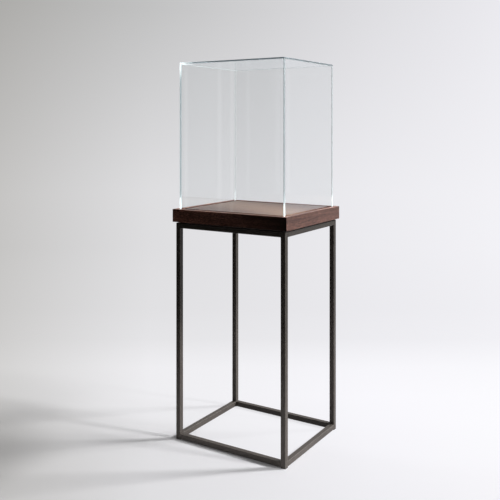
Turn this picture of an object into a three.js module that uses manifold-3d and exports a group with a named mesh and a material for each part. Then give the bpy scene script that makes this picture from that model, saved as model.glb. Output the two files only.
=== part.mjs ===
// Pedestal display case: a welded square-tube stand, a dark timber deck and a glass hood.
// Millimetres, +Z up. The origin is on the floor under the middle of the stand, and the
// front faces -Y. The hood stands loose in a channel in the deck and lifts straight off.

import * as THREE from 'three';
import { mergeVertices } from 'three/addons/utils/BufferGeometryUtils.js';
import ManifoldModule from 'manifold-3d';

// ---- Driving dimensions -------------------------------------------------------------

// Steel stand
const STAND_WIDTH = 490; // outside the tubes, along X
const STAND_DEPTH = 420; // outside the tubes, along Y
const LEG_LENGTH = 843.5;
const TUBE_SIDE = 20;
const TUBE_WALL = 1.5;
const TUBE_CORNER_RADIUS = 2;

// Plastic plugs that close the legs and meet the floor
const PLUG_HEAD_THICKNESS = 2;
const PLUG_STEM_LENGTH = 14;
const PLUG_CLEARANCE = 0.2; // stem to bore, each side

// Corner plates welded between the top rails, and the screws that hold the deck to them
const PLATE_EDGE = 46; // along each rail
const PLATE_THICKNESS = 3;
const PLATE_CORNER_CUT = 5; // clears the arris of the leg
const SCREW_SETBACK = 14; // screw axis to each rail
const SCREW_DIAMETER = 4;
const SCREW_HEAD_DIAMETER = 9;
const SCREW_HEAD_HEIGHT = 2.6;
const SCREW_BITE = 22; // length in the timber
const SCREW_TIP_LENGTH = 4;
const SCREW_CLEARANCE = 0.5; // all round, in plate and timber

// Spacer strips between stand and deck, set back to leave a shadow gap
const SPACER_THICKNESS = 4.5;
const SPACER_WIDTH = 8;
const SPACER_SETBACK = 7; // outside of the tube to the strip

// Timber deck
const DECK_THICKNESS = 50;
const DECK_OVERHANG = 10; // beyond the stand, each side
const LIPPING_ARRIS = 1; // chamfer on the outer edges
const PANEL_ARRIS = 0.8; // chamfer round the top of the display panel
const GLUE_LINE = 0.2; // between glued pieces of timber

// Glass hood
const HOOD_HEIGHT = 580; // overall
const HOOD_SETBACK = 20; // deck edge to the outside of the glass
const GLASS_THICKNESS = 6;
const GLASS_ARRIS = 0.6; // ground edge of each pane
const BOND_LINE = 0.1; // between bonded panes

// Channel in the deck that the hood stands in
const CHANNEL_DEPTH = 8;
const CHANNEL_OUTER_CLEARANCE = 1.5; // glass to lipping
const CHANNEL_INNER_CLEARANCE = 12; // glass to display panel
const BED_THICKNESS = 1; // soft strip under the glass

// ---- Derived sizes and levels -------------------------------------------------------

const TUBE_BORE = TUBE_SIDE - 2 * TUBE_WALL;
const BORE_CORNER_RADIUS = TUBE_CORNER_RADIUS / 4;
const LEG_X = (STAND_WIDTH - TUBE_SIDE) / 2; // leg axes, and the axes of the rails
const LEG_Y = (STAND_DEPTH - TUBE_SIDE) / 2;
const LONG_RAIL = STAND_WIDTH - 2 * TUBE_SIDE; // front and back
const SHORT_RAIL = STAND_DEPTH - 2 * TUBE_SIDE; // left and right
const STAND_TOP = PLUG_HEAD_THICKNESS + LEG_LENGTH;
const BOTTOM_RAIL_LEVEL = PLUG_HEAD_THICKNESS + TUBE_SIDE / 2;
const TOP_RAIL_LEVEL = STAND_TOP - TUBE_SIDE / 2;
const PLATE_UNDERSIDE = STAND_TOP - TUBE_CORNER_RADIUS - PLATE_THICKNESS;

const DECK_UNDERSIDE = STAND_TOP + SPACER_THICKNESS;
const DECK_WIDTH = STAND_WIDTH + 2 * DECK_OVERHANG;
const DECK_DEPTH = STAND_DEPTH + 2 * DECK_OVERHANG;
const LIPPING_THICKNESS = HOOD_SETBACK - CHANNEL_OUTER_CLEARANCE;
const CORE_WIDTH = DECK_WIDTH - 2 * (LIPPING_THICKNESS + GLUE_LINE);
const CORE_DEPTH = DECK_DEPTH - 2 * (LIPPING_THICKNESS + GLUE_LINE);
const CORE_THICKNESS = DECK_THICKNESS - CHANNEL_DEPTH;
const CHANNEL_FLOOR = DECK_UNDERSIDE + CORE_THICKNESS;
const PANEL_SETBACK = HOOD_SETBACK + GLASS_THICKNESS + CHANNEL_INNER_CLEARANCE;
const PANEL_WIDTH = DECK_WIDTH - 2 * PANEL_SETBACK;
const PANEL_DEPTH = DECK_DEPTH - 2 * PANEL_SETBACK;
const PANEL_THICKNESS = CHANNEL_DEPTH - GLUE_LINE;

const HOOD_WIDTH = DECK_WIDTH - 2 * HOOD_SETBACK;
const HOOD_DEPTH = DECK_DEPTH - 2 * HOOD_SETBACK;
const HOOD_BOTTOM = CHANNEL_FLOOR + BED_THICKNESS;
const WALL_HEIGHT = HOOD_HEIGHT - GLASS_THICKNESS - BOND_LINE;
const SIDE_PANE_WIDTH = HOOD_DEPTH - 2 * (GLASS_THICKNESS + BOND_LINE);

const CORNER_STEPS = 4; // flats in each rounded corner of a tube
const ROUND_STEPS = 20; // flats round a screw or a hole

// In order round the stand, a quarter turn apart.
const CORNERS = [
  { name: 'front_left', x: -1, y: -1 },
  { name: 'front_right', x: 1, y: -1 },
  { name: 'back_right', x: 1, y: 1 },
  { name: 'back_left', x: -1, y: 1 },
];

// ---- Materials ----------------------------------------------------------------------

function material(color, roughness, metalness) {
  return () => new THREE.MeshStandardMaterial({ color, roughness, metalness });
}

const paintedSteel = material(0x37322d, 0.5, 0.35);
const timber = material(0x4b3029, 0.55, 0);
const blockboard = material(0xb89a70, 0.8, 0);
const rubber = material(0x161514, 0.85, 0);
const plastic = material(0x1b1a19, 0.6, 0);
const screwSteel = material(0x8f8f8d, 0.35, 0.9);
const glass = material(0xdcecea, 0.04, 0);

// ---- Shape helpers ------------------------------------------------------------------

const manifold = await ManifoldModule();
manifold.setup();

function roundedSquare(path, side, radius) {
  const reach = side / 2 - radius;
  const quarter = Math.PI / 2;
  path.absarc(reach, reach, radius, 0, quarter, false);
  path.absarc(-reach, reach, radius, quarter, 2 * quarter, false);
  path.absarc(-reach, -reach, radius, 2 * quarter, 3 * quarter, false);
  path.absarc(reach, -reach, radius, 3 * quarter, 4 * quarter, false);
  return path;
}

function extrude(shape, depth, curveSegments) {
  return new THREE.ExtrudeGeometry(shape, { depth, curveSegments, bevelEnabled: false });
}

// Stands on its own z = 0.
function block(width, depth, height) {
  return new THREE.BoxGeometry(width, depth, height).translate(0, 0, height / 2);
}

function toSolid(geometry) {
  geometry.deleteAttribute('normal');
  geometry.deleteAttribute('uv');
  const merged = mergeVertices(geometry, 1e-5);
  return new manifold.Manifold(new manifold.Mesh({
    numProp: 3,
    vertProperties: new Float32Array(merged.attributes.position.array),
    triVerts: new Uint32Array(merged.index.array),
  }));
}

function toGeometry(solid) {
  const mesh = solid.getMesh();
  const geometry = new THREE.BufferGeometry();
  geometry.setAttribute('position', new THREE.BufferAttribute(mesh.vertProperties, 3));
  geometry.setIndex(new THREE.BufferAttribute(mesh.triVerts, 1));
  geometry.computeVertexNormals();
  return geometry;
}

function addPiece(group, name, geometry, makeMaterial, x, y, z) {
  const piece = new THREE.Mesh(geometry, makeMaterial());
  piece.name = name;
  piece.position.set(x, y, z);
  group.add(piece);
  return piece;
}

// ---- Steel stand --------------------------------------------------------------------

function squareTube(length) {
  const section = roundedSquare(new THREE.Shape(), TUBE_SIDE, TUBE_CORNER_RADIUS);
  section.holes.push(roundedSquare(new THREE.Path(), TUBE_BORE, BORE_CORNER_RADIUS));
  return extrude(section, length, CORNER_STEPS);
}

function addLegs(stand) {
  for (const { name, x, y } of CORNERS) {
    addPiece(stand, `leg_${name}`, squareTube(LEG_LENGTH), paintedSteel,
      x * LEG_X, y * LEG_Y, PLUG_HEAD_THICKNESS);
  }
}

// Four rails butt between the legs at one level.
function addRailRing(stand, prefix, level) {
  for (const [side, sign] of [['front', -1], ['back', 1]]) {
    const rail = addPiece(stand, `${prefix}_rail_${side}`, squareTube(LONG_RAIL),
      paintedSteel, -LONG_RAIL / 2, sign * LEG_Y, level);
    rail.rotation.y = Math.PI / 2;
  }
  for (const [side, sign] of [['left', -1], ['right', 1]]) {
    const rail = addPiece(stand, `${prefix}_rail_${side}`, squareTube(SHORT_RAIL),
      paintedSteel, sign * LEG_X, SHORT_RAIL / 2, level);
    rail.rotation.x = Math.PI / 2;
  }
}

// The stem starts halfway up the head, so that the two join as one solid.
function footPlug() {
  const halfHead = PLUG_HEAD_THICKNESS / 2;
  const head = roundedSquare(new THREE.Shape(), TUBE_SIDE, TUBE_CORNER_RADIUS);
  const stem = roundedSquare(
    new THREE.Shape(), TUBE_BORE - 2 * PLUG_CLEARANCE, BORE_CORNER_RADIUS);
  const headSolid = toSolid(extrude(head, PLUG_HEAD_THICKNESS, CORNER_STEPS));
  const stemSolid = toSolid(extrude(stem, PLUG_STEM_LENGTH + halfHead, CORNER_STEPS));
  return toGeometry(headSolid.add(stemSolid.translate([0, 0, halfHead])));
}

function addFootPlugs(stand) {
  for (const { name, x, y } of CORNERS) {
    addPiece(stand, `foot_plug_${name}`, footPlug(), plastic, x * LEG_X, y * LEG_Y, 0);
  }
}

// ---- Deck fixings -------------------------------------------------------------------

// The plate's square corner is at the origin, and its two welded edges run along +X and +Y.
function cornerPlate() {
  const outline = new THREE.Shape([
    new THREE.Vector2(PLATE_CORNER_CUT, 0),
    new THREE.Vector2(PLATE_EDGE, 0),
    new THREE.Vector2(0, PLATE_EDGE),
    new THREE.Vector2(0, PLATE_CORNER_CUT),
  ]);
  const hole = new THREE.Path();
  const holeRadius = SCREW_DIAMETER / 2 + SCREW_CLEARANCE;
  hole.absarc(SCREW_SETBACK, SCREW_SETBACK, holeRadius, 0, 2 * Math.PI, true);
  outline.holes.push(hole);
  return extrude(outline, PLATE_THICKNESS, ROUND_STEPS);
}

// Point up, with the underside of its domed head at z = 0.
function deckScrew() {
  const headRadius = SCREW_HEAD_DIAMETER / 2;
  const shankRadius = SCREW_DIAMETER / 2;
  const tip = DECK_UNDERSIDE - PLATE_UNDERSIDE + SCREW_BITE;
  const profile = [new THREE.Vector2(0, -SCREW_HEAD_HEIGHT)];
  for (const angle of [0.5, 0.95, 1.3]) {
    profile.push(new THREE.Vector2(
      headRadius * Math.sin(angle), -SCREW_HEAD_HEIGHT * Math.cos(angle)));
  }
  profile.push(
    new THREE.Vector2(headRadius, 0),
    new THREE.Vector2(shankRadius, 0),
    new THREE.Vector2(shankRadius, tip - SCREW_TIP_LENGTH),
    new THREE.Vector2(0, tip),
  );
  return new THREE.LatheGeometry(profile, ROUND_STEPS).rotateX(Math.PI / 2);
}

// Where a screw stands: set in from the inner corner of the top rails.
function screwPlace({ x, y }) {
  return {
    x: x * (STAND_WIDTH / 2 - TUBE_SIDE - SCREW_SETBACK),
    y: y * (STAND_DEPTH / 2 - TUBE_SIDE - SCREW_SETBACK),
  };
}

function addDeckFixings(stand) {
  CORNERS.forEach((corner, quarter) => {
    const plate = addPiece(stand, `corner_plate_${corner.name}`, cornerPlate(), paintedSteel,
      corner.x * LONG_RAIL / 2, corner.y * SHORT_RAIL / 2, PLATE_UNDERSIDE);
    plate.rotation.z = quarter * Math.PI / 2;
    const place = screwPlace(corner);
    addPiece(stand, `deck_screw_${corner.name}`, deckScrew(), screwSteel,
      place.x, place.y, PLATE_UNDERSIDE);
  });
}

function addSpacers(stand) {
  const outerWidth = STAND_WIDTH - 2 * SPACER_SETBACK;
  const outerDepth = STAND_DEPTH - 2 * SPACER_SETBACK;
  const long = block(outerWidth, SPACER_WIDTH, SPACER_THICKNESS);
  const short = block(SPACER_WIDTH, outerDepth - 2 * SPACER_WIDTH, SPACER_THICKNESS);
  const x = (outerWidth - SPACER_WIDTH) / 2;
  const y = (outerDepth - SPACER_WIDTH) / 2;
  addPiece(stand, 'spacer_strip_front', long, rubber, 0, -y, STAND_TOP);
  addPiece(stand, 'spacer_strip_back', long, rubber, 0, y, STAND_TOP);
  addPiece(stand, 'spacer_strip_left', short, rubber, -x, 0, STAND_TOP);
  addPiece(stand, 'spacer_strip_right', short, rubber, x, 0, STAND_TOP);
}

// ---- Timber deck --------------------------------------------------------------------

// A lipping lies along X with its outer face at y = 0 and its underside at z = 0. It is
// drawn as a section and stretched to its length, less at the inside than at the outside,
// so that both ends are mitred. Half a glue line comes off each mitre.
function lipping(outerLength) {
  const section = new THREE.Shape([
    new THREE.Vector2(0, LIPPING_ARRIS),
    new THREE.Vector2(LIPPING_ARRIS, 0),
    new THREE.Vector2(LIPPING_THICKNESS, 0),
    new THREE.Vector2(LIPPING_THICKNESS, DECK_THICKNESS),
    new THREE.Vector2(LIPPING_ARRIS, DECK_THICKNESS),
    new THREE.Vector2(0, DECK_THICKNESS - LIPPING_ARRIS),
  ]);
  const geometry = extrude(section, 1);
  const points = geometry.attributes.position;
  const glueAllowance = GLUE_LINE * Math.SQRT1_2;
  for (let i = 0; i < points.count; i += 1) {
    const inward = points.getX(i);
    const height = points.getY(i);
    const end = points.getZ(i) > 0 ? 1 : -1;
    points.setXYZ(i, end * (outerLength / 2 - inward - glueAllowance), inward, height);
  }
  geometry.computeVertexNormals();
  return geometry;
}

function addLippings(deck) {
  const sides = [
    ['front', DECK_WIDTH, DECK_DEPTH],
    ['right', DECK_DEPTH, DECK_WIDTH],
    ['back', DECK_WIDTH, DECK_DEPTH],
    ['left', DECK_DEPTH, DECK_WIDTH],
  ];
  sides.forEach(([side, length, across], quarter) => {
    const turned = new THREE.Group();
    turned.rotation.z = quarter * Math.PI / 2;
    addPiece(turned, `lipping_${side}`, lipping(length), timber,
      0, -across / 2, DECK_UNDERSIDE);
    deck.add(turned);
  });
}

// The core carries everything above it. Four blind holes from below take the screws.
function deckCore() {
  const holeDepth = SCREW_BITE + 2 * SCREW_CLEARANCE;
  const holeRadius = SCREW_DIAMETER / 2 + SCREW_CLEARANCE;
  let core = toSolid(block(CORE_WIDTH, CORE_DEPTH, CORE_THICKNESS));
  for (const corner of CORNERS) {
    const place = screwPlace(corner);
    const drill = new THREE.CylinderGeometry(
      holeRadius, holeRadius, 2 * holeDepth, ROUND_STEPS);
    drill.rotateX(Math.PI / 2).translate(place.x, place.y, 0);
    core = core.subtract(toSolid(drill));
  }
  return toGeometry(core);
}

// A slab with a chamfer round its top: the top corners of a plain block are drawn in, over
// a second block that keeps the sides upright below the chamfer.
function displayPanel() {
  const shoulder = PANEL_THICKNESS - PANEL_ARRIS;
  const cap = block(PANEL_WIDTH, PANEL_DEPTH, PANEL_THICKNESS - shoulder);
  const points = cap.attributes.position;
  for (let i = 0; i < points.count; i += 1) {
    if (points.getZ(i) > 0) {
      points.setX(i, Math.sign(points.getX(i)) * (PANEL_WIDTH / 2 - PANEL_ARRIS));
      points.setY(i, Math.sign(points.getY(i)) * (PANEL_DEPTH / 2 - PANEL_ARRIS));
    }
  }
  const base = toSolid(block(PANEL_WIDTH, PANEL_DEPTH, shoulder));
  return toGeometry(base.add(toSolid(cap).translate([0, 0, shoulder])));
}

// ---- Glass hood ---------------------------------------------------------------------

// A pane stands on z = 0, along X, with its thickness centred on y = 0.
function pane(width, height) {
  const outline = new THREE.Shape([
    new THREE.Vector2(-width / 2 + GLASS_ARRIS, GLASS_ARRIS),
    new THREE.Vector2(width / 2 - GLASS_ARRIS, GLASS_ARRIS),
    new THREE.Vector2(width / 2 - GLASS_ARRIS, height - GLASS_ARRIS),
    new THREE.Vector2(-width / 2 + GLASS_ARRIS, height - GLASS_ARRIS),
  ]);
  const depth = GLASS_THICKNESS - 2 * GLASS_ARRIS;
  const geometry = new THREE.ExtrudeGeometry(outline, {
    depth,
    bevelSize: GLASS_ARRIS,
    bevelThickness: GLASS_ARRIS,
    bevelSegments: 1,
  });
  return geometry.translate(0, 0, -depth / 2).rotateX(Math.PI / 2);
}

function addPanes(hood) {
  const x = (HOOD_WIDTH - GLASS_THICKNESS) / 2;
  const y = (HOOD_DEPTH - GLASS_THICKNESS) / 2;
  const wide = pane(HOOD_WIDTH, WALL_HEIGHT);
  const narrow = pane(SIDE_PANE_WIDTH, WALL_HEIGHT).rotateZ(Math.PI / 2);
  addPiece(hood, 'glass_front', wide, glass, 0, -y, HOOD_BOTTOM);
  addPiece(hood, 'glass_back', wide, glass, 0, y, HOOD_BOTTOM);
  addPiece(hood, 'glass_left', narrow, glass, -x, 0, HOOD_BOTTOM);
  addPiece(hood, 'glass_right', narrow, glass, x, 0, HOOD_BOTTOM);

  const lid = pane(HOOD_WIDTH, HOOD_DEPTH);
  lid.translate(0, 0, -HOOD_DEPTH / 2).rotateX(Math.PI / 2);
  addPiece(hood, 'glass_top', lid, glass,
    0, 0, HOOD_BOTTOM + HOOD_HEIGHT - GLASS_THICKNESS / 2);
}

// Soft strips on the channel floor, one under each wall of the hood.
function addBeds(deck) {
  const x = (HOOD_WIDTH - GLASS_THICKNESS) / 2;
  const y = (HOOD_DEPTH - GLASS_THICKNESS) / 2;
  const long = block(HOOD_WIDTH, GLASS_THICKNESS, BED_THICKNESS);
  const short = block(GLASS_THICKNESS, SIDE_PANE_WIDTH, BED_THICKNESS);
  addPiece(deck, 'hood_bed_front', long, rubber, 0, -y, CHANNEL_FLOOR);
  addPiece(deck, 'hood_bed_back', long, rubber, 0, y, CHANNEL_FLOOR);
  addPiece(deck, 'hood_bed_left', short, rubber, -x, 0, CHANNEL_FLOOR);
  addPiece(deck, 'hood_bed_right', short, rubber, x, 0, CHANNEL_FLOOR);
}

// ---- Assembly -----------------------------------------------------------------------

function buildStand() {
  const stand = new THREE.Group();
  addLegs(stand);
  addRailRing(stand, 'bottom', BOTTOM_RAIL_LEVEL);
  addRailRing(stand, 'top', TOP_RAIL_LEVEL);
  addFootPlugs(stand);
  addDeckFixings(stand);
  addSpacers(stand);
  return stand;
}

function buildDeck() {
  const deck = new THREE.Group();
  addLippings(deck);
  addPiece(deck, 'deck_core', deckCore(), blockboard, 0, 0, DECK_UNDERSIDE);
  addPiece(deck, 'display_panel', displayPanel(), timber, 0, 0, CHANNEL_FLOOR + GLUE_LINE);
  addBeds(deck);
  return deck;
}

function buildHood() {
  const hood = new THREE.Group();
  addPanes(hood);
  return hood;
}

const displayCase = new THREE.Group();
displayCase.add(buildStand(), buildDeck(), buildHood());

export default displayCase;
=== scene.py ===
"""Pedestal display case: a square-tube steel stand, a dark timber deck and a glass hood.

Run as a script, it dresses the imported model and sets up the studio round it.
"""

from math import cos, pi, radians, sin, sqrt

import bmesh
import bpy
from bpy.props import FloatProperty, FloatVectorProperty, IntProperty, PointerProperty
from bpy.types import Operator, Panel, PropertyGroup
from mathutils import Matrix, Vector


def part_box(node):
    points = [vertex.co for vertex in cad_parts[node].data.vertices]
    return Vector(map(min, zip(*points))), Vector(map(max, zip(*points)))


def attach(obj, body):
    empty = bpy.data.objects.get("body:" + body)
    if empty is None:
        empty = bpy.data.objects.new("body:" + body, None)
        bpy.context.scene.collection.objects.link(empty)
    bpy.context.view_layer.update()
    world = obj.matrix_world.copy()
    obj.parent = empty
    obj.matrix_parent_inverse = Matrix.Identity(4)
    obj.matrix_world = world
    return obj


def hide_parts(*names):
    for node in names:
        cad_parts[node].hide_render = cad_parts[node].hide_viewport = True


bl_info = {
    "name": "Pedestal Display Case",
    "version": (1, 0, 0),
    "blender": (4, 5, 0),
    "location": "3D View > Sidebar > Display Case",
    "description": "Makes the stand, deck and glass hood of a pedestal display case",
    "category": "Add Mesh",
}

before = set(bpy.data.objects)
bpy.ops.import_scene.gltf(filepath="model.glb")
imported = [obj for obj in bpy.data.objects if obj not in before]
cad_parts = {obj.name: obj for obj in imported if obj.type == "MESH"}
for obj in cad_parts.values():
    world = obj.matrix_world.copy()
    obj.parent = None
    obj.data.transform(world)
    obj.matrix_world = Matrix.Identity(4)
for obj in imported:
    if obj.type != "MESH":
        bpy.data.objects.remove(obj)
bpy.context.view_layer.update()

MM = 0.001
SIDES = ("front", "right", "back", "left")
CORNERS = ("front_left", "front_right", "back_right", "back_left")

LEG_LOW, LEG_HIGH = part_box("leg_front_left")
TUBE_SIDE = LEG_HIGH.x - LEG_LOW.x
STAND_WIDTH, STAND_DEPTH = -2 * LEG_LOW.x, -2 * LEG_LOW.y
SCREW_LOW, SCREW_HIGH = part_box("deck_screw_front_left")
PLATE_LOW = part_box("corner_plate_front_left")[0]
LIPPING_LOW, LIPPING_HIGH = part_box("lipping_front")
DECK_WIDTH, DECK_DEPTH = -2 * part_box("lipping_left")[0].x, -2 * LIPPING_LOW.y
DECK_TOP = LIPPING_HIGH.z
HOOD_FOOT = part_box("glass_front")[0].z
HOOD_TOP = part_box("glass_top")[1].z


# ---- Settings a maker would change ---------------------------------------------------


def length_setting(name, description, default, smallest):
    return FloatProperty(name=name, description=description, default=default,
                         min=smallest, unit="LENGTH")


def angle_setting(name, description, degrees):
    return FloatProperty(name=name, description=description, default=radians(degrees),
                         subtype="ANGLE")


def share_setting(name, description, default):
    return FloatProperty(name=name, description=description, default=default, min=0, max=1)


def colour_setting(name, description, *default):
    return FloatVectorProperty(name=name, description=description, default=default,
                               min=0, max=1, subtype="COLOR")


class StandSettings(PropertyGroup):
    tube_wall: length_setting(
        "Tube wall", "Wall thickness of the square tube", 1.5 * MM, 0.5 * MM)
    tube_corner: length_setting(
        "Tube corner", "Outside corner radius of the tube", 2 * MM, 0.6 * MM)
    corner_steps: IntProperty(
        name="Corner steps", description="Flats in each rounded corner of a tube",
        default=6, min=2, max=16)
    weld_radius: length_setting(
        "Weld radius", "Radius of the weld run along an inside corner", 1.3 * MM, 0.3 * MM)
    weld_pitch: length_setting(
        "Weld pitch", "Distance between two ripples of a weld", 1.6 * MM, 0.5 * MM)
    paint: colour_setting(
        "Paint", "Colour of the satin paint on the steel", 0.046, 0.039, 0.032)
    # Painted highlight: the paler colour painted along the rounded arrises of the tubes.
    arris_highlight: colour_setting(
        "Arris highlight", "Colour where handling has thinned it", 0.2, 0.18, 0.165)
    # Painted light: the paint turns this lighter colour towards the floor, for light bounced up
    # from it, and stops at the level below.
    painted_bounce: colour_setting("Painted bounce", "Colour at the floor, where dust settles", 0.1, 0.086, 0.076)
    bounce_rise: length_setting(
        "Dust rise", "Level at which the stand shows no more dust", 0.64, 0.01)


class FixingSettings(PropertyGroup):
    shank: length_setting("Shank", "Diameter of a deck screw's shank", 4 * MM, 1 * MM)
    head: length_setting("Head", "Diameter of a deck screw's domed head", 9 * MM, 2 * MM)
    head_height: length_setting(
        "Head height", "Height of a deck screw's head", 2.6 * MM, 0.5 * MM)
    recess: length_setting(
        "Recess", "Length across the cross recess in the head", 4.6 * MM, 1 * MM)
    zinc: colour_setting("Zinc", "Colour of the zinc plating", 0.58, 0.58, 0.56)
    rubber: colour_setting(
        "Rubber", "Colour of the spacer and bed strips", 0.012, 0.012, 0.012)
    plastic: colour_setting("Plastic", "Colour of the foot plugs", 0.014, 0.014, 0.014)


class DeckSettings(PropertyGroup):
    arris: length_setting(
        "Arris", "Radius of the deck's eased outer edges", 1.3 * MM, 0.2 * MM)
    panel_arris: length_setting(
        "Panel arris", "Radius of the eased edge round the panel", 0.4 * MM, 0.1 * MM)
    dark_wood: colour_setting(
        "Dark wood", "Colour of the late growth and pores", 0.02, 0.008, 0.005)
    mid_wood: colour_setting(
        "Mid wood", "Main colour of the stained wood", 0.085, 0.034, 0.023)
    pale_wood: colour_setting("Pale wood", "Colour of the early growth", 0.2, 0.095, 0.068)
    # Painted sheen: the paler colour of a band across the middle of the panel.
    sheen_band_wood: colour_setting(
        "Sheen band wood", "Colour across the middle of the panel", 0.4, 0.262, 0.19)
    # Painted shade: the core is coloured almost black so that the channel where it shows reads
    # dark.
    core_wood: colour_setting(
        "Core wood", "Colour of the core in the channel", 0.009, 0.006, 0.005)


class HoodSettings(PropertyGroup):
    arris: length_setting("Arris", "Width of the ground edge of a pane", 0.6 * MM, 0.1 * MM)
    bend: FloatProperty(name="Refraction", description="Index of refraction of the glass",
                        default=1.5, min=1, max=2)
    tint: colour_setting("Tint", "Colour of the clear faces", 0.99, 1.0, 1.0)
    # Painted shade: the left pane and the lid are greyer copies of the clear glass, and the lid
    # reflects less.
    left_tint: colour_setting("Left tint", "The same for the left pane", 0.965, 0.972, 0.972)
    lid_tint: colour_setting("Lid tint", "The same for the lid", 0.83, 0.865, 0.88)
    edge_tint: colour_setting(
        "Edge tint", "Colour of the end faces of a pane", 0.86, 0.94, 0.96)
    # Painted shade: the lid's end faces are coloured darker than the others.
    lid_edge_tint: colour_setting(
        "Lid edge tint", "The same for the lid, seen darker", 0.3, 0.36, 0.4)
    # Painted glow: the end faces of the panes emit light, though they are no lamp.
    edge_glow: share_setting("Edge glow", "Light that comes out of a ground end face", 0.15)
    foot_glow: share_setting("Foot glow", "Added to that where the panes enter the deck", 0.5)


class StudioSettings(PropertyGroup):
    camera_turn: angle_setting(
        "Camera turn", "How far the camera stands round to the right", 31.96)
    camera_distance: length_setting(
        "Camera distance", "Camera to the middle of the case, on the floor", 2.92564, 1)
    camera_height: length_setting(
        "Camera height", "Height of the lens above the floor", 1.22306, 0.1)
    camera_aside: FloatProperty(
        name="Camera aside", description="Camera's step to the right of the line of sight",
        default=-0.02937, unit="LENGTH")
    camera_lens: FloatProperty(
        name="Lens", description="Focal length", default=52.866, min=10, unit="CAMERA")
    camera_drop: FloatProperty(
        name="Lens drop", description="Shift that keeps upright edges parallel",
        default=-0.24714)
    room_radius: length_setting("Room radius", "Distance of the backdrop, all round", 12, 6)
    key_level: share_setting(
        "Key level", "Share of the floor's light that the main lamp gives", 0.45)
    key_size: angle_setting(
        "Key size", "Angle that the main lamp spans, seen from the case", 9)
    fill_level: share_setting(
        "Fill level", "Share of the floor's light from the second lamp", 0.2)
    fill_size: angle_setting("Fill size", "Angle that the second lamp spans, from the case", 6)
    lamp_height: angle_setting("Lamp height", "Angle of both lamps above the floor", 36)


class CaseSettings(PropertyGroup):
    stand: PointerProperty(name="Stand", description="Steel stand", type=StandSettings)
    fixings: PointerProperty(name="Fixings", description="Small parts", type=FixingSettings)
    deck: PointerProperty(name="Deck", description="Timber deck", type=DeckSettings)
    hood: PointerProperty(name="Hood", description="Glass hood", type=HoodSettings)
    studio: PointerProperty(name="Studio", description="Room and light", type=StudioSettings)


# ---- Node trees ----------------------------------------------------------------------

BLACK = (0.0, 0.0, 0.0, 1.0)


class Value:
    """An output of a node. Plain arithmetic on it adds Math nodes to its tree."""

    def __init__(self, tree, socket):
        self.tree, self.socket = tree, socket

    def __add__(self, other):
        return calc(self.tree, "ADD", self, other)

    def __sub__(self, other):
        return calc(self.tree, "SUBTRACT", self, other)

    def __rsub__(self, other):
        return calc(self.tree, "SUBTRACT", other, self)

    def __mul__(self, other):
        return calc(self.tree, "MULTIPLY", self, other)

    def __truediv__(self, other):
        return calc(self.tree, "DIVIDE", self, other)

    def __abs__(self):
        return calc(self.tree, "ABSOLUTE", self)


def add_node(tree, kind, sockets=None, **settings):
    """Adds a node, sets it, and links or fills its sockets by name or number."""
    node = tree.nodes.new(kind)
    for name, value in settings.items():
        setattr(node, name, value)
    for key, value in (sockets or {}).items():
        if isinstance(value, Value):
            tree.links.new(value.socket, node.inputs[key])
        else:
            node.inputs[key].default_value = value
    return node


def output(tree, kind, sockets=None, key=0, **settings):
    """One output of a new node."""
    return Value(tree, add_node(tree, kind, sockets, **settings).outputs[key])


def calc(tree, operation, *values):
    return output(tree, "ShaderNodeMath", dict(enumerate(values)), operation=operation)


def vector_calc(tree, operation, *values):
    key = "Value" if operation in ("DOT_PRODUCT", "LENGTH") else "Vector"
    return output(tree, "ShaderNodeVectorMath", dict(enumerate(values)), key,
                  operation=operation)


def joined_vector(tree, x, y, z):
    return output(tree, "ShaderNodeCombineXYZ", {0: x, 1: y, 2: z})


def parts_of(tree, vector):
    """The X, Y and Z of a vector."""
    node = add_node(tree, "ShaderNodeSeparateXYZ", {0: vector})
    return [Value(tree, part) for part in node.outputs]


def remap(tree, value, low, high, to_low, to_high, curve="SMOOTHSTEP"):
    sockets = {0: value, 1: low, 2: high, 3: to_low, 4: to_high}
    return output(tree, "ShaderNodeMapRange", sockets, interpolation_type=curve)


def noise(tree, place, scale, detail=2.0, roughness=0.5, distortion=0.0):
    return output(tree, "ShaderNodeTexNoise", {
        "Vector": place, "Scale": scale, "Detail": detail, "Roughness": roughness,
        "Distortion": distortion})


def blend_colours(tree, amount, first, second):
    return output(tree, "ShaderNodeMix", {0: amount, 6: first, 7: second}, 2,
                  data_type="RGBA")


def ramp(tree, place, stops):
    """A colour ramp from (place, colour or grey) pairs."""
    node = add_node(tree, "ShaderNodeValToRGB", {0: place})
    elements = node.color_ramp.elements
    while len(elements) < len(stops):
        elements.new(1)
    for element, (position, stop) in zip(elements, stops):
        element.position = position
        element.color = opaque((stop,) * 3 if isinstance(stop, float) else stop)
    return Value(tree, node.outputs[0])


def opaque(shade, depth=1.0):
    """A colour with its alpha, deepened or lightened."""
    return (*(channel * depth for channel in shade[:3]), 1.0)


def light_path(tree, *kinds):
    """1 for rays of any of these kinds."""
    rays = add_node(tree, "ShaderNodeLightPath").outputs
    found = Value(tree, rays[f"Is {kinds[0]} Ray"])
    for kind in kinds[1:]:
        found = calc(tree, "MAXIMUM", found, Value(tree, rays[f"Is {kind} Ray"]))
    return found


def new_finish(name):
    finish = bpy.data.materials.new(name)
    finish.use_nodes = True
    finish.node_tree.nodes.clear()
    return finish, finish.node_tree


def close_finish(finish, surface):
    add_node(finish.node_tree, "ShaderNodeOutputMaterial", {"Surface": surface})
    return finish


def coated(finish, sockets):
    """Ends a finish in one shader with these sockets."""
    return close_finish(finish, output(finish.node_tree, "ShaderNodeBsdfPrincipled", sockets))


def mixed(tree, amount, first, second):
    return output(tree, "ShaderNodeMixShader", {0: amount, 1: first, 2: second})


def object_place(tree):
    return output(tree, "ShaderNodeTexCoord", key="Object")


def turned(tree, vector, turn):
    return output(tree, "ShaderNodeMapping", {"Vector": vector, "Rotation": turn})


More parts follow.
